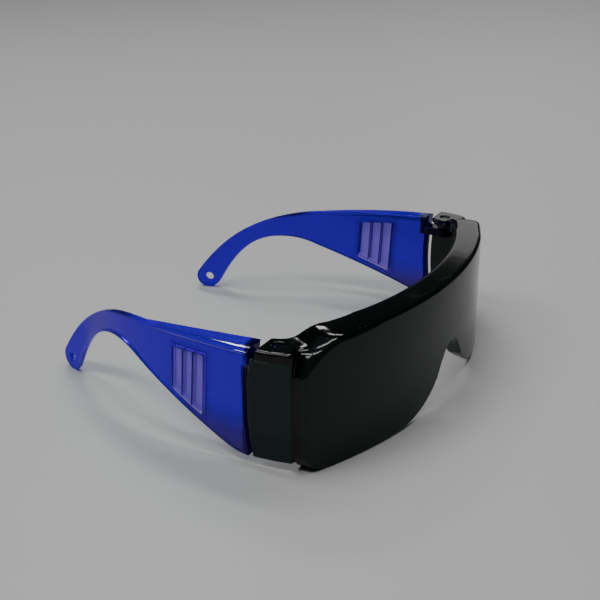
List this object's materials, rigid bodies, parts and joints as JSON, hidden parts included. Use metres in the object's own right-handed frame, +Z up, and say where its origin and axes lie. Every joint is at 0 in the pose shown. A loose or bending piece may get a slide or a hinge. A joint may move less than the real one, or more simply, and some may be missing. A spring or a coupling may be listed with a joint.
{
  "type": "welding glasses",
  "caption": "Wraparound welding glasses: a raised dark lens with brow shelf and stepped side panels, and translucent temples with louvred vents that fold on hidden hinges.",
  "frame": {"origin": "centre of the footprint at the level of the lowest points, the lower lens edge and the temple tips", "axes": "+Z up as worn, -Y the way the wearer looks, +X to the wearer's left"},
  "size_m": [0.1562, 0.1392, 0.0459],
  "materials": {
    "lens_front": "dark green polycarbonate, polished",
    "temple": "translucent deep blue polycarbonate, polished"
  },
  "bodies": {
    "front": {"lens_front": "lens_front"},
    "temple_right": {"temple_right": "temple"},
    "temple_left": {"temple_left": "temple"}
  },
  "joints": [
    {"name": "temple_right_fold", "type": "hinge", "parent": "front", "child": "temple_right", "pos_m": [-0.0704, -0.03819, 0.0368], "axis": [0, 0, -1], "range_deg": [0, 80]},
    {"name": "temple_left_fold", "type": "hinge", "parent": "front", "child": "temple_left", "pos_m": [0.0704, -0.03819, 0.0368], "axis": [0, 0, 1], "range_deg": [0, 70]}
  ]
}
